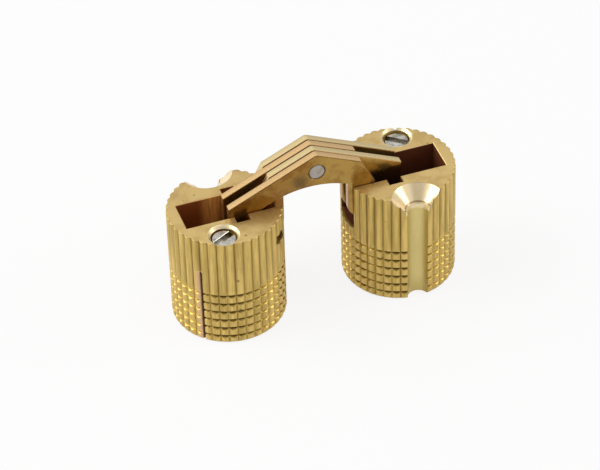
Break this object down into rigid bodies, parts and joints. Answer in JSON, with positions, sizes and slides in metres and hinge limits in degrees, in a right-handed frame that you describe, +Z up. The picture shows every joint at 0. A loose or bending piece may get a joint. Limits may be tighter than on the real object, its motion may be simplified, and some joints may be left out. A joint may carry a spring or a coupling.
{
  "type": "invisible barrel hinge",
  "caption": "Concealed hinge of fluted brass barrels for drilled holes, joined by crossed sliding link plates on pins, with expander screws and side grooves for fixing screws.",
  "frame": {"origin": "midway between the two barrels, at the level of their bottoms, hinge fully open", "axes": "+X from the left barrel to the right one, +Y to the back along the pins, +Z up out of the barrels' top faces"},
  "size_m": [0.0358, 0.014, 0.0216],
  "materials": {
    "barrel_brass": "bare turned brass, fluted sides",
    "link_brass": "stamped sheet brass, smooth faces",
    "pin_steel": "plain drawn steel",
    "screw_steel": "bright zinc plated"
  },
  "bodies": {
    "left_barrel": {"left_barrel": "barrel_brass", "left_expander_screw": "screw_steel", "left_pivot_pin": "pin_steel"},
    "link_b": {"link_b_inner_plate": "link_brass", "link_b_outer_plate": "link_brass", "right_slide_pin": "pin_steel"},
    "link_a": {"link_a_outer_plate": "link_brass", "link_a_inner_plate": "link_brass", "center_pin": "pin_steel", "left_slide_pin": "pin_steel"},
    "right_barrel": {"right_barrel": "barrel_brass", "right_expander_screw": "screw_steel", "right_pivot_pin": "pin_steel"}
  },
  "joints": [
    {"name": "left_pivot", "type": "hinge", "parent": "left_barrel", "child": "link_b", "pos_m": [-0.00556, 0, 0.01253], "axis": [0, -1, 0], "range_deg": [0, 108.9]},
    {"name": "center_pivot", "type": "hinge", "parent": "link_b", "child": "link_a", "pos_m": [0, 0, 0.0192], "axis": [0, -1, 0], "range_deg": [-37.8, 0]},
    {"name": "right_pivot", "type": "hinge", "parent": "link_a", "child": "right_barrel", "pos_m": [0.00556, 0, 0.01253], "axis": [0, -1, 0], "range_deg": [0, 108.9]}
  ],
  "couplings": [
    {"joint": "center_pivot", "follows": "left_pivot", "ratio": -0.34713},
    {"joint": "right_pivot", "follows": "left_pivot", "ratio": 1}
  ]
}
